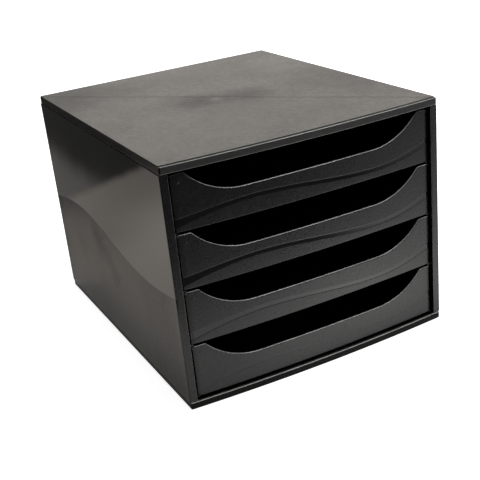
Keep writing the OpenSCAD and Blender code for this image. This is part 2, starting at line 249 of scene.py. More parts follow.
def side_wave(sizes, y):
    """Height of the wave on a side panel at depth y."""
    return sizes.wave_z + sizes.wave_swing * math.sin(math.tau * (y - sizes.wave_y) / sizes.wave_length)


def scoop_arcs(sizes, height):
    """Radius of the scoop, and where its arc meets the corner's arc and the corner's arc ends."""
    depth = height - sizes.lip
    run = sizes.scoop_reach - sizes.scoop_flat
    radius = (run * run + depth * depth) / (2 * depth)
    rise = sizes.lip + radius - (height - sizes.scoop_corner)
    end = sizes.scoop_flat + math.sqrt((radius + sizes.scoop_corner) ** 2 - rise * rise)
    meet = sizes.scoop_flat + (end - sizes.scoop_flat) * radius / (radius + sizes.scoop_corner)
    return radius, meet, end


def front_top(sizes, height, x):
    """Height of the drawer front's upper edge at x."""
    radius, meet, end = scoop_arcs(sizes, height)
    reach = abs(x)
    if reach <= sizes.scoop_flat:
        return sizes.lip
    if reach <= meet:
        return sizes.lip + radius - math.sqrt(radius ** 2 - (reach - sizes.scoop_flat) ** 2)
    if reach <= end:
        return height - sizes.scoop_corner + math.sqrt(sizes.scoop_corner ** 2 - (reach - end) ** 2)
    if reach <= sizes.width / 2 - sizes.notch_width:
        return height
    return height - sizes.notch_height


# Mesh building

def loft(bm, rings):
    """Joins closed rings with faces, closes the first and last ring, and returns the rows of faces."""
    rows = [[bm.verts.new(p) for p in ring] for ring in rings]
    count = len(rows[0])
    turns = [(i, (i + 1) % count) for i in range(count)]
    faces = [[bm.faces.new((low[i], low[j], high[j], high[i])) for i, j in turns]
             for low, high in zip(rows, rows[1:])]
    bm.faces.new(rows[0][::-1])
    bm.faces.new(rows[-1])
    return faces


def paint(faces, number):
    """Gives faces one of their piece's finishes, by its number."""
    for face in faces:
        face.material_index = number


def block(bm, low, high, edge=FIT, turn=0.0):
    """Adds a box with rounded edges between two corners, turned about its upright axis."""
    made = bmesh.ops.create_cube(bm, size=1.0)["verts"]
    centre = (Vector(low) + Vector(high)) / 2
    size = Vector(high) - Vector(low)
    place = Matrix.Translation(centre) @ Matrix.Rotation(turn, 4, "Z") @ Matrix.Diagonal((*size, 1.0))
    bmesh.ops.transform(bm, matrix=place, verts=made)
    edges = list({e for v in made for e in v.link_edges})
    bmesh.ops.bevel(bm, geom=edges, offset=edge, offset_type="OFFSET", segments=2, profile=0.5,
                    affect="EDGES")


def finish_piece(bm, node, body, slot, *finishes):
    """Turns the mesh into a piece with its finishes, which rides on a body and stands for its node."""
    name = node + "_moulding"
    bmesh.ops.recalc_face_normals(bm, faces=bm.faces)
    mesh = bpy.data.meshes.new(name)
    bm.to_mesh(mesh)
    bm.free()
    mesh.polygons.foreach_set("use_smooth", [True] * len(mesh.polygons))
    mesh.set_sharp_from_angle(angle=math.radians(38))
    for finish in finishes:
        mesh.materials.append(plastic(finish))
    piece = bpy.data.objects.new(name, mesh)
    bpy.context.scene.collection.objects.link(piece)
    smooth = piece.modifiers.new("Even shading", "WEIGHTED_NORMAL")
    smooth.keep_sharp = True
    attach(piece, body)
    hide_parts(node)


# Shader nodes

def feed(tree, value, socket):
    """Links a socket to an input, or sets the input to a value."""
    if isinstance(value, bpy.types.NodeSocket):
        tree.links.new(value, socket)
    elif value is not None:
        socket.default_value = value


def add_node(tree, kind, inputs=None, **settings):
    """Adds a node with its settings and its inputs, each a value or a socket to link."""
    node = tree.nodes.new("ShaderNode" + kind)
    for key, value in settings.items():
        setattr(node, key, value)
    for label, value in (inputs or {}).items():
        feed(tree, value, node.inputs[label])
    return node


def math_node(tree, operation, *values):
    """Adds a Math node and returns its value."""
    return add_node(tree, "Math", dict(enumerate(values)), operation=operation).outputs[0]


def product(tree, first, *others):
    """Multiplies values one after the other."""
    for other in others:
        first = math_node(tree, "MULTIPLY", first, other)
    return first


def vector_node(tree, operation, *vectors, output="Vector"):
    """Adds a Vector Math node and returns its vector or value."""
    return add_node(tree, "VectorMath", dict(enumerate(vectors)), operation=operation).outputs[output]


def scaled(tree, vector, scale):
    """Scales a vector by a value."""
    return add_node(tree, "VectorMath", {0: vector, "Scale": scale}, operation="SCALE").outputs[0]


def noise_node(tree, vector, scale, detail=2.0, roughness=0.5):
    """Adds a Noise Texture and returns the node."""
    return add_node(tree, "TexNoise", {"Vector": vector, "Scale": scale, "Detail": detail,
                                       "Roughness": roughness})


def range_node(tree, value, from_low, from_high, to_low=0.0, to_high=1.0, kind="SMOOTHSTEP"):
    """Adds a Map Range and returns its result."""
    limits = {"Value": value, "From Min": from_low, "From Max": from_high,
              "To Min": to_low, "To Max": to_high}
    return add_node(tree, "MapRange", limits, interpolation_type=kind).outputs["Result"]


def mix_colour(tree, factor, first, second):
    """Adds a colour Mix and returns its result."""
    node = add_node(tree, "Mix", data_type="RGBA")
    for label, value in (("Factor", factor), ("A", first), ("B", second)):
        feed(tree, value, next(s for s in node.inputs if s.name == label and s.enabled))
    return next(s for s in node.outputs if s.enabled)


def bump_node(tree, height, strength, distance, normal=None):
    """Adds a Bump and returns its normal."""
    return add_node(tree, "Bump", {"Strength": strength, "Distance": distance, "Height": height,
                                   "Normal": normal}).outputs["Normal"]


def arrange(tree):
    """Sets a tree's nodes out in columns, from its inputs at the left to its output at the right."""
    column = {node.name: 0 for node in tree.nodes}
    for _ in tree.nodes:
        for link in tree.links:
            column[link.from_node.name] = max(column[link.from_node.name], column[link.to_node.name] + 1)
    filled = {}
    for node in tree.nodes:
        place = column[node.name]
        filled[place] = filled.get(place, 0) + 1
        node.location = (-220 * place, -230 * filled[place])


# Shader groups

def new_group(name, inputs, outputs):
    """Starts a shader group with named sockets, and returns it with its inputs and outputs to link."""
    group = bpy.data.node_groups.new(name, "ShaderNodeTree")
    group.interface.new_socket(name="Vector", in_out="INPUT", socket_type="NodeSocketVector")
    for label, default in inputs.items():
        kind = "NodeSocketVector" if isinstance(default, tuple) else "NodeSocketFloat"
        group.interface.new_socket(name=label, in_out="INPUT", socket_type=kind).default_value = default
    for label in outputs:
        group.interface.new_socket(name=label, in_out="OUTPUT", socket_type="NodeSocketFloat")
    start = group.nodes.new("NodeGroupInput")
    end = group.nodes.new("NodeGroupOutput")
    return group, start.outputs, end.inputs


def grain_group(name):
    """Moulded grain: a fine stipple of the tool, as a height and as a mask for gloss."""
    group, given, made = new_group(name, {"Size": 0.0009}, ("Height", "Mask"))
    scale = math_node(group, "DIVIDE", 1.0, given["Size"])
    stipple = noise_node(group, given["Vector"], scale, 3.0, 0.6).outputs["Fac"]
    patches = noise_node(group, given["Vector"], product(group, scale, 0.23)).outputs["Fac"]
    mixed = math_node(group, "MULTIPLY_ADD", patches, 0.12, range_node(group, stipple, 0.32, 0.68))
    feed(group, product(group, mixed, 0.89), made["Height"])
    feed(group, range_node(group, patches, 0.35, 0.65), made["Mask"])
    return group


def flow_group(name):
    """Melt flow: the slow drift of shade where the plastic ran and cooled."""
    group, given, made = new_group(name, {"Stretch": (9.0, 9.0, 9.0), "Streaks": 0.4}, ("Mask", "Height"))
    run = vector_node(group, "MULTIPLY", given["Vector"], given["Stretch"])
    cloud = noise_node(group, run, 1.0, 2.0, 0.45).outputs["Fac"]
    streak = noise_node(group, scaled(group, run, 3.1), 1.0, 1.0, 0.4).outputs["Fac"]
    both = math_node(group, "MULTIPLY_ADD", streak, given["Streaks"], cloud)
    even = math_node(group, "DIVIDE", both, math_node(group, "ADD", given["Streaks"], 1.0))
    feed(group, range_node(group, even, 0.3, 0.7), made["Mask"])
    feed(group, even, made["Height"])
    return group


def line_group(name):
    """Sink line: how near a point is to a line over a rib, and the lean of the drawn-in face there."""
    group, given, made = new_group(
        name, {"Through": (0.0, 0.0, 0.0), "Along": (1.0, 0.0, 0.0), "Width": 0.003}, ("Mask", "Lean"))
    away = vector_node(group, "SUBTRACT", given["Vector"], given["Through"])
    cross = vector_node(group, "CROSS_PRODUCT", away, vector_node(group, "NORMALIZE", given["Along"]))
    distance = vector_node(group, "LENGTH", cross, output="Value")
    mask = range_node(group, distance, 0.0, given["Width"], 1.0, 0.0)
    across = vector_node(group, "DOT_PRODUCT", cross, (0.0, 0.0, 1.0), output="Value")
    feed(group, mask, made["Mask"])
    feed(group, product(group, math_node(group, "DIVIDE", across, given["Width"]), mask), made["Lean"])
    return group


def spot_group(name):
    """Soft spot: a round mask with a torn edge, for shaded patches."""
    group, given, made = new_group(
        name, {"Centre": (0.0, 0.0, 0.0), "Radius": 0.02, "Tear": 0.3}, ("Mask",))
    distance = vector_node(group, "DISTANCE", given["Vector"], given["Centre"], output="Value")
    lean = math_node(group, "SUBTRACT", noise_node(group, given["Vector"], 60.0).outputs["Fac"], 0.5)
    share = math_node(group, "DIVIDE", distance, given["Radius"])
    both = math_node(group, "ADD", share, product(group, lean, given["Tear"]))
    feed(group, range_node(group, both, 0.0, 1.0, 1.0, 0.0), made["Mask"])
    return group


def speck_group(name):
    """Specks: sparse grains of dust, each with its own size."""
    group, given, made = new_group(name, {"Spacing": 0.006, "Share": 0.12}, ("Mask",))
    scale = math_node(group, "DIVIDE", 1.0, given["Spacing"])
    cells = add_node(group, "TexVoronoi", {"Vector": given["Vector"], "Scale": scale})
    split = add_node(group, "SeparateColor", {"Color": cells.outputs["Color"]})
    size = range_node(group, split.outputs["Red"], 0.0, given["Share"], 0.055, 0.0, "LINEAR")
    feed(group, math_node(group, "LESS_THAN", cells.outputs["Distance"], size), made["Mask"])
    return group


GROUP_MAKERS = {"Moulded Grain": grain_group, "Melt Flow": flow_group, "Sink Line": line_group,
                "Soft Spot": spot_group, "Dust Specks": speck_group}


def place_group(tree, name, vector, **values):
    """Places a shared group in a material, with its own values, and returns its outputs."""
    group = bpy.data.node_groups.get(name)
    if group is None:
        group = GROUP_MAKERS[name](name)
        arrange(group)
    node = add_node(tree, "Group", node_tree=group)
    feed(tree, vector, node.inputs["Vector"])
    for key, value in values.items():
        node.inputs[key.title()].default_value = value
    return node.outputs


# Materials: a maker gets the tree, the Principled inputs, the object coordinates and the settings

def start_material(name):
    """Starts a material and returns it with its tree, its Principled inputs and its object coordinates."""
    material = bpy.data.materials.new(name)
    material.use_nodes = True
    tree = material.node_tree
    places = add_node(tree, "TexCoord").outputs["Object"]
    return material, tree, tree.nodes["Principled BSDF"].inputs, places


def tinted(base, share):
    """A colour made lighter or darker by a share."""
    return (*(min(1.0, c * share) for c in base), 1.0)


def toned(tree, mask, base, first, second):
    """A colour that drifts between two shares of itself with a mask."""
    return mix_colour(tree, mask, tinted(base, first), tinted(base, second))


def casing_plastic(tree, shader, places, finish):
    """Satin grained plastic of the top, base and back panels, duller over the ribs, with painted shade along
    the sink line over one rib.
    """
    grain = place_group(tree, "Moulded Grain", places, size=finish.grain)
    flow = place_group(tree, "Melt Flow", places, stretch=(16.0, 13.0, 20.0))
    top = TOP_HIGH.z
    middle = (-0.002, 0.0, top)
    swirl = place_group(tree, "Soft Spot", places, centre=middle, radius=0.04, tear=0.2)
    drift = noise_node(tree, places, 42.0, 0.0).outputs["Color"]
    shift = vector_node(tree, "SUBTRACT", drift, (0.5, 0.5, 0.5))
    sway = scaled(tree, shift, product(tree, swirl["Mask"], 0.02))
    waved = vector_node(tree, "ADD", places, vector_node(tree, "MULTIPLY", sway, (1.0, 1.0, 0.0)))
    falling = place_group(tree, "Sink Line", waved, through=middle, along=(0.27, -0.316, 0.0), width=0.0028)
    rising = place_group(tree, "Sink Line", places, through=(-0.003, 0.0, top), along=(0.25, 0.304, 0.0),
                         width=0.003)
    rough = 0.395
    for x, y, radius, share in ((-0.0225, 0.001, 0.045, 0.13), (0.024, -0.012, 0.044, 0.12),
                                (-0.0086, -0.0036, 0.013, -0.12), (-0.14, 0.125, 0.13, 0.11),
                                (0.13, -0.03, 0.11, 0.07)):
        spot = place_group(tree, "Soft Spot", places, centre=(x, y, top), radius=radius, tear=0.5)
        rough = math_node(tree, "MULTIPLY_ADD", spot["Mask"], share, rough)
    for mask, share in ((falling["Mask"], 0.11), (flow["Mask"], 0.045), (grain["Mask"], 0.04)):
        rough = math_node(tree, "MULTIPLY_ADD", mask, share, rough)
    feed(tree, rough, shader["Roughness"])
    shade = toned(tree, flow["Mask"], finish.casing, 1.1, 0.9)
    # Painted shade: darker colour along the falling sink line
    feed(tree, mix_colour(tree, falling["Mask"], shade, tinted(finish.casing, 0.65)), shader["Base Color"])
    sunk = bump_node(tree, falling["Lean"], 0.5, 0.0006)
    sunk = bump_node(tree, rising["Mask"], 0.25, 0.0003, sunk)
    feed(tree, bump_node(tree, grain["Height"], 0.8, 0.0002, sunk), shader["Normal"])


def rim_plastic_painted_shade(tree, shader, places, finish):
    """Smoother plastic of the panels' rims, where the mould slides apart, in a darker copy of the casing
    colour as painted shade.
    """
    grain = place_group(tree, "Moulded Grain", places, size=0.001)
    flow = place_group(tree, "Melt Flow", places, stretch=(16.0, 13.0, 20.0))
    # Painted shade: the rims take the casing colour at 0.3 to 0.4 of its lightness
    feed(tree, toned(tree, flow["Mask"], finish.casing, 0.4, 0.3), shader["Base Color"])
    feed(tree, range_node(tree, grain["Mask"], 0.0, 1.0, 0.2, 0.25), shader["Roughness"])
    feed(tree, 0.08, shader["Specular IOR Level"])
    feed(tree, bump_node(tree, grain["Height"], 0.2, 0.0001), shader["Normal"])


def side_plastic(tree, shader, places, finish):
    """Glossy plastic of the side panels, with the slight unevenness of a thin moulded wall."""
    flow = place_group(tree, "Melt Flow", places, stretch=(4.0, 6.0, 3.0), streaks=0.5)
    specks = place_group(tree, "Dust Specks", places, spacing=0.008, share=0.1)
    shade = toned(tree, flow["Mask"], finish.side, 0.85, 1.2)
    feed(tree, mix_colour(tree, specks["Mask"], shade, tinted(finish.side, 5.0)), shader["Base Color"])
    feed(tree, range_node(tree, flow["Mask"], 0.0, 1.0, 0.06, 0.11), shader["Roughness"])
    feed(tree, bump_node(tree, flow["Height"], 0.25, 0.002), shader["Normal"])


def lower_side_plastic(tree, shader, places, finish):
    """Satin plastic of a side panel below its wave, leaning towards it and streaked by the melt."""
    grain = place_group(tree, "Moulded Grain", places, size=0.0014)
    flow = place_group(tree, "Melt Flow", places, stretch=(6.0, 9.0, 5.0), streaks=0.5)
    feed(tree, toned(tree, flow["Mask"], finish.side, 0.8, 1.3), shader["Base Color"])
    sizes = bpy.context.scene.tray_casing
    split = add_node(tree, "SeparateXYZ", {"Vector": places}).outputs
    turn = math.tau / sizes.wave_length
    angle = math_node(tree, "MULTIPLY_ADD", split["Y"], turn, -turn * sizes.wave_y)
    wave = math_node(tree, "MULTIPLY_ADD", math_node(tree, "SINE", angle), sizes.wave_swing, sizes.wave_z)
    below = math_node(tree, "SUBTRACT", wave, split["Z"])
    near = range_node(tree, below, 0.0, 0.075, 1.0, 0.0, "LINEAR")
    rough = range_node(tree, flow["Mask"], 0.0, 1.0, 0.15, 0.23)
    for y, z, radius in ((0.045, 0.106, 0.022), (0.028, 0.096, 0.024),
                         (0.011, 0.086, 0.024), (-0.006, 0.074, 0.022)):
        cloud = place_group(tree, "Soft Spot", places, centre=(-HIGH.x, y, z), radius=radius, tear=0.2)
        rough = math_node(tree, "MULTIPLY_ADD", cloud["Mask"], 0.1, rough)
    feed(tree, math_node(tree, "MULTIPLY_ADD", near, 0.07, rough), shader["Roughness"])
    feed(tree, 0.34, shader["Specular IOR Level"])
    leaning = bump_node(tree, product(tree, math_node(tree, "POWER", near, 2.0), -0.5), 1.0, 0.0075)
    streaked = bump_node(tree, flow["Height"], 0.6, 0.0035, leaning)
    feed(tree, bump_node(tree, grain["Height"], 0.6, 0.0002, streaked), shader["Normal"])


def drawer_plastic(tree, shader, places, finish):
    """Dark grained plastic of the drawers."""
    grain = place_group(tree, "Moulded Grain", places, size=0.0012)
    flow = place_group(tree, "Melt Flow", places, stretch=(7.0, 7.0, 14.0))
    specks = place_group(tree, "Dust Specks", places, spacing=0.005, share=0.14)
    shade = toned(tree, flow["Mask"], finish.drawer, 0.88, 1.15)
    feed(tree, mix_colour(tree, specks["Mask"], shade, tinted(finish.drawer, 10.0)), shader["Base Color"])
    feed(tree, range_node(tree, grain["Mask"], 0.0, 1.0, 0.265, 0.295), shader["Roughness"])
    feed(tree, bump_node(tree, grain["Height"], 0.6, 0.00014), shader["Normal"])


def polished_wave_painted_shade(tree, shader, places, finish):
    """The drawers' plastic where the mould was polished, in the wave across the fronts, in a darker copy of
    the drawer colour as painted shade of the band.
    """
    flow = place_group(tree, "Melt Flow", places, stretch=(7.0, 7.0, 14.0))
    # Painted shade: the band takes the drawer colour at 0.6 to 0.8 of its lightness
    feed(tree, toned(tree, flow["Mask"], finish.drawer, 0.6, 0.8), shader["Base Color"])
    feed(tree, range_node(tree, flow["Mask"], 0.0, 1.0, 0.09, 0.14), shader["Roughness"])


def painted_highlight_plastic(tree, shader, places, finish):
    """Paler plastic along the thin rounded edges, a painted highlight where they catch the light."""
    flow = place_group(tree, "Melt Flow", places, stretch=(30.0, 30.0, 30.0), streaks=0.6)
    feed(tree, toned(tree, flow["Mask"], finish.edge, 0.7, 1.3), shader["Base Color"])
    feed(tree, 0.3, shader["Roughness"])


def foot_rubber(tree, shader, places, finish):
    """Matt rubber of the feet."""
    grain = place_group(tree, "Moulded Grain", places, size=0.0007)
    feed(tree, toned(tree, grain["Mask"], finish.foot, 0.8, 1.3), shader["Base Color"])
    feed(tree, 0.85, shader["Roughness"])
    feed(tree, bump_node(tree, grain["Height"], 0.3, 0.0001), shader["Normal"])


FINISH_MAKERS = {"casing": ("Satin casing plastic", casing_plastic),
                 "rim": ("Smooth rim plastic", rim_plastic_painted_shade),
                 "side": ("Gloss side plastic", side_plastic),
                 "side_lower": ("Satin side plastic", lower_side_plastic),
                 "drawer": ("Satin drawer plastic", drawer_plastic),
                 "wave": ("Polished drawer plastic", polished_wave_painted_shade),
                 "edge": ("Rubbed edge plastic", painted_highlight_plastic),
                 "foot": ("Foot rubber", foot_rubber)}


def plastic(finish):
    """The material of a finish, made once."""
    name, make = FINISH_MAKERS[finish]
    material = bpy.data.materials.get(name)
    if material is None:
        material, tree, shader, places = start_material(name)
        make(tree, shader, places, bpy.context.scene.tray_finishes)
        arrange(tree)
    return material


# Pieces

def panel_ring(sizes, side, front, radius, z, rim_drop=0.0):
    """A closed ring round the top or base panel; behind the posts it lies rim_drop lower."""
    half = TOP_HIGH.x - side
    back = TOP_HIGH.y - side
    bow_radius = (HIGH.x ** 2 + sizes.bow ** 2) / (2 * sizes.bow)
    centre_y = LOW.y + bow_radius
    inner = bow_radius - front - radius
    cx = half - radius
    cy = centre_y - math.sqrt(inner * inner - cx * cx)
    lean = math.degrees(math.asin(cx / inner))
    turn = max(LOW.y + sizes.bow + sizes.post_back, cy + FINE)
    points = arc(0, centre_y, bow_radius - front, -90 - lean, -90 + lean, FRONT_FACES)
    points += arc(cx, cy, radius, -90 + lean, 0, sizes.arc_steps)[1:]
    points += [(half, turn), (half, turn + FINE)]
    points += arc(cx, back - radius, radius, 0, 90, sizes.arc_steps)
    points += arc(-cx, back - radius, radius, 90, 180, sizes.arc_steps)
    points += [(-half, turn + FINE), (-half, turn)]
    points += arc(-cx, cy, radius, 180, 270 - lean, sizes.arc_steps)[:-1]
    return [(x, y, z - (rim_drop if y > turn + FINE / 2 else 0.0)) for x, y in points]


def inset_ring(sizes, inset, z, rim_drop=0.0):
    """A panel's ring that is set in evenly all round."""
    return panel_ring(sizes, inset, inset, sizes.corner - inset, z, rim_drop)


def crossed_ribs(bm, sizes, low, high):
    """Adds the two ribs that cross under the top panel and over the base panel."""
    half = TOP_HIGH.x - sizes.rim - RIB_INSET
    front = LOW.y + sizes.bow + sizes.post_back + sizes.post_lip + FIT
    back = BACK_LOW.y - FIT
    reach = (math.hypot(2 * half, back - front) - RIB_LOSS) / 2
    middle = (front + back) / 2
    for side in (-1, 1):
        turn = side * math.atan2(back - front, 2 * half)
        block(bm, (-reach, middle - sizes.rib / 2, low), (reach, middle + sizes.rib / 2, high), FINE, turn)


class TRAY_OT_top_panel(bpy.types.Operator):
    """Builds the top panel with its bevelled edge, front ledge, rim and crossed ribs"""

    bl_idname = "tray.top_panel"
    bl_label = "Top Panel"

    def execute(self, context):
        sizes = context.scene.tray_casing
        top, rim_z, turn = TOP_HIGH.z, TOP_LOW.z, sizes.lower_edge
        rim, front_rim, drop = sizes.rim, sizes.front_rim, sizes.joint / 2
        rings = [panel_ring(sizes, rim, front_rim, ROOT_CORNER, top - sizes.plate),
                 panel_ring(sizes, rim, front_rim, ROOT_CORNER, rim_z + FIT),
                 panel_ring(sizes, rim - FIT, front_rim - FIT, RIM_CORNER, rim_z, drop)]
        rings += [inset_ring(sizes, turn * inset, rim_z + turn * rise, drop)
                  for inset, rise in ((1.0, 0.0), (0.5, 0.13), (0.13, 0.5), (0.0, 1.0))]
        deep, wide = sizes.ledge, sizes.ledge_width
        full = deep + 0.0006
        # The front ledge from its outer edge to the top face: depth below the top, and place from the front
        for step, front in ((full, 0.0), (deep + 0.0003, 0.00008), (deep + 0.00008, 0.0003), (deep, 0.0006),
                            (deep - 0.00002, wide), (deep - 0.0001, wide + 0.00006),
                            (deep * 0.5, wide + 0.0001), (0.00012, wide + 0.00014),
                            (0.00002, wide + 0.00025), (0.0, wide + 0.0005)):
            side = sizes.bevel * (1 - step / full)
            rings.append(panel_ring(sizes, side, front, sizes.corner - side, top - step))
        bm = bmesh.new()
        rows = loft(bm, rings)
        # The side and back faces of the rim take the darker rim finish, painted shade
        for row in rows[2:7]:
            paint(row[FRONT_FACES:], 1)
        # The lower edge round and the front of the ledge take the pale edge finish, a painted highlight
        paint(sum(rows[3:6], []) + rows[8][:FRONT_FACES] + rows[9][:FRONT_FACES], 2)
        root = top - sizes.plate
        crossed_ribs(bm, sizes, root - RIB_HEIGHT, root + 0.0005)
        finish_piece(bm, "top_panel", "casing", "casing", "casing", "rim", "edge")
        return {"FINISHED"}


class TRAY_OT_base_panel(bpy.types.Operator):
    """Builds the base panel with its front ledge, lower side rims and crossed ribs"""

    bl_idname = "tray.base_panel"
    bl_label = "Base Panel"

    def execute(self, context):
        sizes = context.scene.tray_casing
        low, top, small = BASE_LOW.z, BASE_HIGH.z, 0.0004
        rim, front_rim, drop = sizes.rim, sizes.front_rim, sizes.joint - sizes.post_line
        root = low + sizes.plate
        bm = bmesh.new()
        rows = loft(bm, [panel_ring(sizes, rim, front_rim, ROOT_CORNER, root),
                         panel_ring(sizes, rim, front_rim, ROOT_CORNER, top - small, drop),
                         panel_ring(sizes, rim - small, front_rim - small, RIM_CORNER, top, drop),
                         inset_ring(sizes, 0.0006, top, drop), inset_ring(sizes, FINE, top - FINE, drop),
                         inset_ring(sizes, 0.0, top - 0.0006, drop), inset_ring(sizes, 0.0, low + 0.0008),
                         inset_ring(sizes, FINE, low + FINE), inset_ring(sizes, 0.0008, low)])
        # The ledge's upper front edge takes the pale edge finish, a painted highlight
        paint(rows[3] + rows[4], 2)
        # The outer faces below take the darker rim finish, painted shade
        paint(sum(rows[5:], []), 1)
        crossed_ribs(bm, sizes, root - 0.0005, root + RIB_HEIGHT)
        finish_piece(bm, "base_panel", "casing", "casing", "casing", "rim", "edge")
        return {"FINISHED"}


def side_outline(sizes, outer):
    """Plan of the right side panel, with its outer face at x = outer."""
    wall = HIGH.x - sizes.side_wall
    post = HIGH.x - sizes.post
    lip_back = LOW.y + sizes.bow + sizes.post_back + sizes.post_lip
    slot = BACK_LOW.y - FIT + BACK_RIB, BACK_HIGH.y + FIT
    turn = 0.0009
    fore = bow_line(sizes, outer - turn, sizes.post_back)
    edge = sizes.post_edge
    places = [post + edge + i * turn for i in range(4)]
    points = arc(post + edge, bow_line(sizes, post, sizes.post_back) + edge, edge, 180, 270, 4)[:-1]
    points += [(x, bow_line(sizes, x, sizes.post_back)) for x in places]
    points += arc(outer - turn, fore + turn, turn, -90, 0, 5)
    run = HIGH.y - 0.0006 - fore - turn
    points += [(outer, fore + turn + run * i / SIDE_FACES) for i in range(1, SIDE_FACES + 1)]
    points += [(outer - FINE, HIGH.y - FINE / 2), (outer - 0.0007, HIGH.y)]
    jaw = slot[0] - SLOT_JAW
    points += [(wall - SLOT_REACH, HIGH.y), (wall - SLOT_REACH, slot[1]), (wall, slot[1]), (wall, slot[0]),
               (wall - SLOT_REACH, slot[0]), (wall - SLOT_REACH, jaw), (wall, jaw)]
    behind = post + sizes.post_wall
    inner = bow_line(sizes, behind, sizes.post_back + sizes.post_wall)
    return points + [(wall, inner), (behind, inner), (behind, lip_back), (post, lip_back)]


def sunk_outline(sizes, sunk):
    """Plan of the right side panel where its outer face is sunk, fading out at the panel's two ends."""
    outer = HIGH.x
    fore = LOW.y + sizes.bow + sizes.post_back
    points = []
    for x, y in side_outline(sizes, outer - sunk):
        inward = min(1.0, max(0.0, min(y - fore, HIGH.y - y) / STEP_FADE))
        points.append((x + sunk * (1 - ease(inward)) if x > outer - sizes.side_wall / 2 else x, y))
    return points


def side_shell(bm, sizes):
    """Adds the wall with its post and its stepped wave, as rings that follow the wave."""
    low = BASE_HIGH.z + sizes.post_line
    top = TOP_LOW.z - sizes.joint
    outer = HIGH.x
    rings = []
    for i in range(WAVE_ROWS + 1):
        share = i / WAVE_ROWS
        sunk = sizes.wave_foot + (sizes.wave_step - sizes.wave_foot) * share ** 2
        rings.append([(x, y, low + (side_wave(sizes, y) - 0.0004 - low) * share)
                      for x, y in sunk_outline(sizes, sunk)])
    for inset, rise in ((0.0010, -0.00035), (0.0001, -0.0001), (0.0, 0.00015)):
        rings.append([(x, y, side_wave(sizes, y) + rise) for x, y in sunk_outline(sizes, inset)])
    rings.append([(x, y, top - FINE) for x, y in side_outline(sizes, outer)])
    rings.append([(x, y, top) for x, y in side_outline(sizes, outer - FINE)])
    rows = loft(bm, rings)
    for row in rows[:WAVE_ROWS]:
        paint([face for face in row if min(v.co.x for v in face.verts) > outer - sizes.side_wall / 2], 1)
    for row in rows:
        paint(row[4:8], 2)
        # One face of the post's inner round takes the pale edge finish, a painted highlight
        paint(row[1:2], 3)


def side_fittings(bm, sizes):
    """Adds the runners and the tongues that slip inside the top and base panels."""
    wall = HIGH.x - sizes.side_wall
    root_x = wall + 0.0008
    inner = sizes.runner_gap / 2
    back = BACK_LOW.y + BACK_RIB - 0.0018
    floors = [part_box(node)[0].z for node in reversed(DRAWERS)]
    floors.append(floors[-1] + (floors[-1] - floors[-2]))
    for z, recess in zip(floors, [RUNNER_BACK] * len(DRAWERS) + [TOP_RUNNER_BACK]):
        fore = bow_line(sizes, inner, recess)
        block(bm, (inner, fore, z - sizes.slide - sizes.runner), (root_x, back, z - sizes.slide))
    tongue = TOP_HIGH.x - sizes.rim - FIT
    fore = LOW.y + sizes.bow + sizes.post_back + sizes.post_lip + FIT
    low = BASE_HIGH.z + sizes.post_line
    top = TOP_LOW.z - sizes.joint
    for foot, head, root in ((top - TONGUE_REACH, TOP_HIGH.z - sizes.plate - FIT, top - ROOT_MIDDLE),
                             (BASE_LOW.z + sizes.plate + FIT, low + TONGUE_REACH, low + ROOT_MIDDLE)):
        block(bm, (tongue - TONGUE, fore, foot), (tongue, back, head))
        block(bm, (tongue - TONGUE, fore, root - ROOT_HALF), (root_x, back, root + ROOT_HALF), FINE)


class TRAY_OT_side_panels(bpy.types.Operator):
    """Builds the two glossy side panels with their posts, waves and runners"""

    bl_idname = "tray.side_panels"
    bl_label = "Side Panels"

    def execute(self, context):
        sizes = context.scene.tray_casing
        for node in ("left_side_panel", "right_side_panel"):
            bm = bmesh.new()
            side_shell(bm, sizes)
            side_fittings(bm, sizes)
            if node == "left_side_panel":
                bmesh.ops.scale(bm, vec=(-1.0, 1.0, 1.0), verts=bm.verts)
            finish_piece(bm, node, "casing", "side", "side", "side_lower", "drawer", "edge")
        return {"FINISHED"}


class TRAY_OT_back_panel(bpy.types.Operator):
    """Builds the back panel with its upright ribs"""

    bl_idname = "tray.back_panel"
    bl_label = "Back Panel"

    def execute(self, context):
        sizes = context.scene.tray_casing
        low, high, edge = BACK_LOW, BACK_HIGH, 0.0004
        bm = bmesh.new()
        block(bm, (low.x, low.y + BACK_RIB, low.z), tuple(high), edge)
        for i in range(1, BACK_RIBS + 1):
            x = sizes.runner_gap * (i / (BACK_RIBS + 1) - 0.5)
            block(bm, (x - BACK_RIB / 2, low.y, low.z + edge),
                  (x + BACK_RIB / 2, low.y + 2 * BACK_RIB, high.z - edge), FINE)
        finish_piece(bm, "back_panel", "casing", "casing", "casing")
        return {"FINISHED"}


def front_stations(sizes, height):
    """Places across a drawer's front, close together where its upper edge turns."""
    meet, end = scoop_arcs(sizes, height)[1:]
    half = sizes.width / 2
    notch = half - sizes.notch_width
    places = [sizes.scoop_flat * i / 22 for i in range(23)]
    places += [sizes.scoop_flat + (meet - sizes.scoop_flat) * i / 22 for i in range(1, 23)]
    places += [meet + (end - meet) * math.sin(math.pi / 2 * i / 7) for i in range(1, 8)]
    places += [end + (notch - FINE - end) * i / 9 for i in range(1, 10)]
    places += [notch, notch + 0.00012, half - 0.0005, half - 0.00015, half]
    return [-x for x in reversed(places[1:])] + places


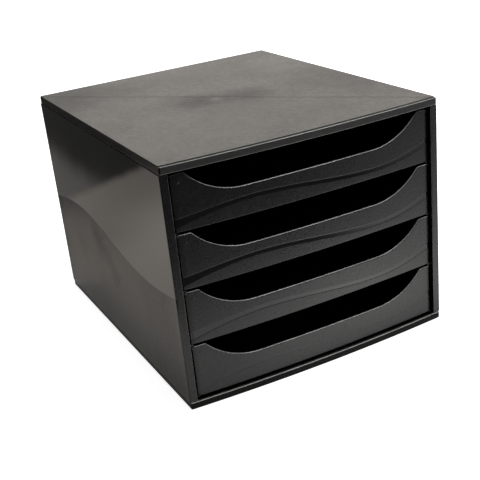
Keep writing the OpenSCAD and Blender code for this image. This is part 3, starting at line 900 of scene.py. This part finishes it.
def front_shell(bm, casing, sizes, low, height):
    """Adds a drawer's front: a bowed strip with its scoop, its polished wave and its rounded edges."""
    half = sizes.width / 2
    thick, sink, lip = sizes.front, sizes.wave_depth, WAVE_LIP
    meet, end = scoop_arcs(sizes, height)[1:]
    rings = []
    for x in front_stations(sizes, height):
        face = bow_line(casing, x, sizes.recess)
        top = front_top(sizes, height, x)
        edge = sizes.edge - (sizes.edge - 0.0006) * min(1.0, max(0.0, (abs(x) - meet) / (end - meet)))
        high = front_wave(sizes, x, *WAVE_UPPER)
        deep = front_wave(sizes, x, *WAVE_LOWER)
        # From the front's lower edge up its face, over its upper edge and down behind: depth and height
        section = [(0.0007, 0.0), (FINE, FINE), (0.0, 0.0007), (0.0, deep - 2 * lip), (0.0, deep - lip),
                   (sink, deep), (sink, deep + lip), (sink, high - lip), (sink, high), (0.0, high + lip),
                   (0.0, high + 2 * lip), (0.0, top - 2 * edge), (0.0, top - edge),
                   (edge * 0.134, top - edge * 0.5), (edge * 0.5, top - edge * 0.134), (edge, top),
                   (thick - 0.0005, top), (thick - 0.00015, top - 0.00015), (thick, top - 0.0005),
                   (thick, 0.0005), (thick - FIT, 0.0)]
        inset = max(0.0, abs(x) - (half - END_ROUND)) ** 2 / END_ROUND
        face += sizes.end_drop * (max(0.0, abs(x) - (half - sizes.end_turn)) / sizes.end_turn) ** 2.5
        rings.append([(x, face + inset + y * (1 - 2 * inset / thick), low + z) for y, z in section])
    for row in loft(bm, rings):
        # The polished wave takes the darker wave finish, painted shade of the band
        paint(row[5:8], 1)
        # The upper edge round takes the pale edge finish, a painted highlight
        paint(row[13:15], 2)


def gate_mark(bm, casing, sizes, low, height):
    """Adds the small round gate mark in the upper left of a drawer's front."""
    x, radius = sizes.mark_x, sizes.mark_radius
    face = bow_line(casing, x, sizes.recess)
    z = low + height - sizes.mark_drop
    loft(bm, [[(cx, face - out, cz) for cx, cz in arc(x, z, radius * share, 0, 360, 16)[:-1]]
              for share, out in ((1.0, -0.0002), (1.0, 0.0), (0.8, 0.0002), (0.45, 0.0003))])


def tray_ring(casing, sizes, inset, z, back, front_z):
    """A closed ring round a drawer's tray; the part behind the front is at front_z."""
    half = sizes.width / 2 - 0.00005 - inset
    recess = sizes.recess + sizes.front / 2 + inset
    corner = max(0.0004, 0.0012 - inset)
    across = [half * (i / 12 - 1) for i in range(25)]
    behind = bow_line(casing, half, sizes.recess + sizes.front - FIT) + inset
    rest = [(half, behind)] + arc(half - corner, back - inset - corner, corner, 0, 90, 4)
    rest += arc(corner - half, back - inset - corner, corner, 90, 180, 4) + [(-half, behind)]
    return [(x, bow_line(casing, x, recess), front_z) for x in across] + [(x, y, z) for x, y in rest]


def tray_shell(bm, casing, sizes, low, height, back):
    """Adds a drawer's floor and its three walls."""
    top = low + height - sizes.wall_drop
    wall, floor, hidden = sizes.wall, low + sizes.wall, low + 0.003
    # Up the outside, over the walls, down the inside and onto the floor: inset, height, height in front
    rings = ((0.0005, low, low + 0.0002), (0.00015, low + 0.00015, low + 0.0003),
             (0.0, low + 0.0005, low + 0.0006), (0.0, top - 0.0004, hidden - 0.0003),
             (0.0001, top - 0.0001, hidden - 0.0001), (0.0004, top, hidden),
             (wall - 0.0004, top, hidden), (wall - 0.0001, top - 0.0001, hidden - 0.0001),
             (wall, top - 0.0004, hidden - 0.0003), (wall, floor + 0.0008, floor + 0.0006),
             (wall + 0.0003, floor + 0.0003, floor + 0.0003), (wall + 0.0009, floor, floor))
    loft(bm, [tray_ring(casing, sizes, inset, z, back, front_z) for inset, z, front_z in rings])


def stop_lugs(bm, sizes, low, height, reach):
    """Adds the two ramped lugs that stop a drawer at the posts."""
    half = sizes.width / 2
    root = half - LUG_ROOT
    middle = low + (height - sizes.wall_drop) / 2
    outline = [(root, LUG_FRONT), (reach, LUG_FRONT), (reach, LUG_RAMP), (half, LUG_BACK), (root, LUG_BACK)]
    for side in (-1, 1):
        points = [(side * x, y) for x, y in outline][::side]
        loft(bm, [[(x, y, z) for x, y in points] for z in (middle - LUG_HALF, middle + LUG_HALF)])


class TRAY_OT_drawers(bpy.types.Operator):
    """Builds the drawers with their scooped and waved fronts, trays and stop lugs"""

    bl_idname = "tray.drawers"
    bl_label = "Drawers"

    def execute(self, context):
        casing, sizes = context.scene.tray_casing, context.scene.tray_drawer
        for node in DRAWERS:
            low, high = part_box(node)
            height = high.z - low.z
            bm = bmesh.new()
            front_shell(bm, casing, sizes, low.z, height)
            gate_mark(bm, casing, sizes, low.z, height)
            tray_shell(bm, casing, sizes, low.z, height, high.y)
            stop_lugs(bm, sizes, low.z, height, high.x)
            finish_piece(bm, node, node, "drawer", "drawer", "wave", "edge")
        return {"FINISHED"}


class TRAY_OT_feet(bpy.types.Operator):
    """Builds the four rubber feet with rounded lower edges"""

    bl_idname = "tray.feet"
    bl_label = "Feet"

    def execute(self, context):
        # From the hollow under a foot round its lower edge and up its side: shares of radius and height
        profile = ((0.55, 0.12), (0.6, 0.0), (0.93, 0.0), (0.98, 0.12), (1.0, 0.3), (1.0, 1.0))
        for node in FEET:
            low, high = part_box(node)
            centre, radius = (low + high) / 2, (high.x - low.x) / 2
            bm = bmesh.new()
            loft(bm, [[(centre.x + x, centre.y + y, low.z + (high.z - low.z) * z)
                       for x, y in arc(0, 0, radius * share, 0, 360, FOOT_FACES)[:-1]]
                      for share, z in profile])
            finish_piece(bm, node, "casing", "foot", "foot")
        return {"FINISHED"}


# Stage

CAMERA_PLACE = (-0.39411, -0.82478, 0.46091)
CAMERA_RIGHT = (0.877863, -0.468816, -0.097812)
CAMERA_DOWN = (-0.263994, -0.303306, -0.915594)
CAMERA_AHEAD = (0.399579, 0.829588, -0.390026)

# Each lamp's setting, place, target, width, height and colour
LAMPS = (("key", (0.6, -0.7, 1.4), (0.05, -0.1, 0.1), 0.75, 0.4, (1.0, 1.0, 1.0)),
         ("fill", (-0.25, 0.05, 1.6), (-0.1, 0.0, 0.0), 1.1, 1.1, (1.0, 1.0, 1.0)),
         ("right", (1.5, -0.2, 0.7), (0.0, -0.15, 0.12), 1.6, 0.45, (1.0, 1.0, 1.0)),
         ("back", (1.2, 2.2, 1.25), (0.0, 0.0, 0.3), 3.0, 1.8, (1.0, 0.95, 0.87)))


def floor_finish(tree, shader, places, light):
    """White floor that keeps the object's shadow; in reflections it shows painted light: edges, a painted pool
    of light, painted shadows beside the object and painted tints.
    """
    feed(tree, 0.9, shader["Roughness"])
    feed(tree, 0.0, shader["Specular IOR Level"])
    paths = add_node(tree, "LightPath").outputs
    glossy = paths["Is Glossy Ray"]
    split = add_node(tree, "SeparateXYZ", {"Vector": places}).outputs
    x, y = split["X"], split["Y"]

    def along(direction):
        """How far a point of the floor lies in a direction."""
        return vector_node(tree, "DOT_PRODUCT", places, direction, output="Value")

    def fade(place, start, end, first, last):
        """A soft change from a first to a last value between two places."""
        return range_node(tree, place, start, end, first, last)

    def less(first, second):
        """The difference of two values."""
        return math_node(tree, "SUBTRACT", first, second)

    # Painted light in reflections, where the floor shows as lit: behind a slanted front edge, before a back
    # edge, and less at the two sides
    front_edge = fade(along((0.618, 0.786, 0.0)), -0.25, -0.12, 0.0, 1.0)
    lit = math_node(tree, "MAXIMUM", front_edge, fade(y, -0.4, -0.32, 0.0, 1.0))
    behind = along((0.387, 0.922, 0.0))
    before = fade(behind, 0.325, 0.365, 1.0, 0.0)
    held = product(tree, fade(along((0.83, -0.55, 0.0)), light.pool, light.pool + 0.24, 1.0, 0.32),
                   fade(x, 0.06, 0.18, 1.0, 0.72))
    left = fade(x, -0.17, -0.12, 1.0, 0.0)
    # A painted shadow in reflections on the floor's left, close beside the object and towards the back
    shadow = product(tree, fade(x, -0.175, -0.145, 1.0, 0.5), fade(behind, 0.1, 0.27, 1.0, 0.62))
    shaded = math_node(tree, "MULTIPLY_ADD", left, less(shadow, 1.0), 1.0)
    kept = product(tree, product(tree, lit, before), product(tree, held, shaded))

    # Colour: white with a painted warm tint at the left, and painted dark in reflections where the floor is
    # not shown as lit
    white = mix_colour(tree, product(tree, left, glossy), (0.82, 0.82, 0.82, 1.0), (0.71, 0.66, 0.6, 1.0))
    shade = mix_colour(tree, product(tree, less(1.0, kept), glossy), white, (0.012, 0.012, 0.014, 1.0))
    feed(tree, shade, shader["Base Color"])

    # The painted pool of light that glows in reflections, brighter before the front, with a painted wash at
    # the left, and fading where the object stands as a painted contact shadow
    pool = fade(along((0.89, 0.45, 0.0)), -0.2, -0.08, light.glow * 0.2, light.glow)
    off = vector_node(tree, "DISTANCE", places, (0.15, -0.29, 0.0), output="Value")
    pool = math_node(tree, "ADD", pool, fade(off, 0.0, 0.12, light.glow * 1.8, 0.0))
    pool = product(tree, pool, fade(y, -0.215, -0.17, 1.0, 0.3))
    wash = product(tree, fade(along((1.5, 1.0, 0.0)), -0.275, -0.015, light.glow * 0.36, 0.0),
                   fade(x, -0.195, -0.15, 1.0, 0.2))
    glow = math_node(tree, "ADD", product(tree, left, less(wash, pool)), pool)
    rest = product(tree, less(1.0, before), fade(x, -0.32, -0.27, 0.0, light.dim * 4))
    unlit = math_node(tree, "ADD", rest, light.dim)
    mirrored = product(tree, math_node(tree, "MULTIPLY_ADD", glow, kept, unlit), glossy)

    # What the camera sees directly is white, a little less so beside the object
    away = vector_node(tree, "LENGTH", places, output="Value")
    seen = fade(away, 0.4, 1.4, 0.78, 1.0)
    strength = math_node(tree, "MULTIPLY_ADD", paths["Is Camera Ray"], seen, mirrored)
    feed(tree, strength, shader["Emission Strength"])
    # Painted tints of the floor's glow in reflections: cooler far in front, warmer at the left
    tone = mix_colour(tree, fade(y, -0.4, -0.3, 1.0, 0.0), (1.0, 1.0, 0.96, 1.0), (0.92, 0.88, 1.0, 1.0))
    tone = mix_colour(tree, left, tone, (1.0, 0.96, 0.9, 1.0))
    feed(tree, mix_colour(tree, glossy, (1.0, 1.0, 1.0, 1.0), tone), shader["Emission Color"])


def area_lamp(name, place, target, width, height, watts, tone):
    """Adds a soft lamp that points at a target."""
    data = bpy.data.lights.new(name, "AREA")
    data.shape, data.size, data.size_y = "RECTANGLE", width, height
    data.energy, data.color = watts, tone
    lamp = bpy.data.objects.new(name, data)
    bpy.context.scene.collection.objects.link(lamp)
    lamp.location = place
    lamp.rotation_mode = "QUATERNION"
    lamp.rotation_quaternion = (Vector(target) - Vector(place)).to_track_quat("-Z", "Y")


def room_light(strength):
    """Sets the soft light from all round, with a white background for camera and transmission rays."""
    world = bpy.data.worlds.new("Room")
    bpy.context.scene.world = world
    world.use_nodes = True
    tree = world.node_tree
    paths = add_node(tree, "LightPath").outputs
    seen = math_node(tree, "MAXIMUM", paths["Is Camera Ray"], paths["Is Transmission Ray"])
    background = tree.nodes["Background"].inputs
    feed(tree, range_node(tree, seen, 0.0, 1.0, strength, 1.0, "LINEAR"), background["Strength"])
    feed(tree, (1.0, 1.0, 1.0, 1.0), background["Color"])
    arrange(tree)


def lay_floor(light):
    """Lays the floor and marks it as stage."""
    half = light.floor / 2
    mesh = bpy.data.meshes.new("floor")
    corners = [(-half, -half, 0), (half, -half, 0), (half, half, 0), (-half, half, 0)]
    mesh.from_pydata(corners, [], [(0, 1, 2, 3)])
    material, tree, shader, places = start_material("Floor")
    floor_finish(tree, shader, places, light)
    arrange(tree)
    mesh.materials.append(material)
    floor = bpy.data.objects.new("floor", mesh)
    bpy.context.scene.collection.objects.link(floor)


def set_camera(lens):
    """Sets the camera at the photograph's place and turn."""
    data = bpy.data.cameras.new("camera")
    data.lens, data.sensor_width = lens, 36.0
    data.clip_start, data.clip_end = 0.05, 20.0
    camera = bpy.data.objects.new("camera", data)
    bpy.context.scene.collection.objects.link(camera)
    turn = Matrix((Vector(CAMERA_RIGHT), -Vector(CAMERA_DOWN), -Vector(CAMERA_AHEAD))).transposed()
    camera.rotation_mode = "QUATERNION"
    camera.rotation_quaternion = turn.to_quaternion()
    camera.location = CAMERA_PLACE
    bpy.context.scene.camera = camera


class TRAY_OT_stage(bpy.types.Operator):
    """Sets the floor, the lamps, the room light and the camera"""

    bl_idname = "tray.stage"
    bl_label = "Stage"

    def execute(self, context):
        light = context.scene.tray_stage
        lay_floor(light)
        for name, place, target, width, height, tone in LAMPS:
            area_lamp(name + "_lamp", place, target, width, height, getattr(light, name), tone)
        room_light(light.room)
        set_camera(light.lens)
        context.scene.view_settings.view_transform = "Standard"
        return {"FINISHED"}


class TRAY_PT_stack(bpy.types.Panel):
    """Sizes, finishes and steps of the tray stack"""

    bl_idname = "TRAY_PT_stack"
    bl_label = "Tray Stack"
    bl_space_type = "VIEW_3D"
    bl_region_type = "UI"
    bl_category = "Tray Stack"

    def draw(self, context):
        for group, title in (("tray_casing", "Casing"), ("tray_drawer", "Drawers"),
                             ("tray_finishes", "Finishes"), ("tray_stage", "Stage")):
            box = self.layout.box()
            box.label(text=title)
            settings = getattr(context.scene, group)
            for name in type(settings).__annotations__:
                box.prop(settings, name)
        for step in STEPS:
            self.layout.operator(step.bl_idname)


STEPS = (TRAY_OT_top_panel, TRAY_OT_base_panel, TRAY_OT_side_panels, TRAY_OT_back_panel,
         TRAY_OT_drawers, TRAY_OT_feet, TRAY_OT_stage)
GROUPS = {"tray_casing": CasingSizes, "tray_drawer": DrawerSizes, "tray_finishes": Finishes,
          "tray_stage": StageLight}


def register():
    """Registers the settings, the steps and the panel."""
    for name, group in GROUPS.items():
        bpy.utils.register_class(group)
        setattr(bpy.types.Scene, name, PointerProperty(type=group))
    for step in STEPS:
        bpy.utils.register_class(step)
    bpy.utils.register_class(TRAY_PT_stack)


def unregister():
    """Takes the panel, the steps and the settings away again."""
    bpy.utils.unregister_class(TRAY_PT_stack)
    for step in reversed(STEPS):
        bpy.utils.unregister_class(step)
    for name, group in reversed(GROUPS.items()):
        delattr(bpy.types.Scene, name)
        bpy.utils.unregister_class(group)


def main():
    """Builds the pieces and the stage in order."""
    register()
    bpy.ops.tray.top_panel()
    bpy.ops.tray.base_panel()
    bpy.ops.tray.side_panels()
    bpy.ops.tray.back_panel()
    bpy.ops.tray.drawers()
    bpy.ops.tray.feet()
    bpy.ops.tray.stage()


if __name__ == "__main__":
    main()
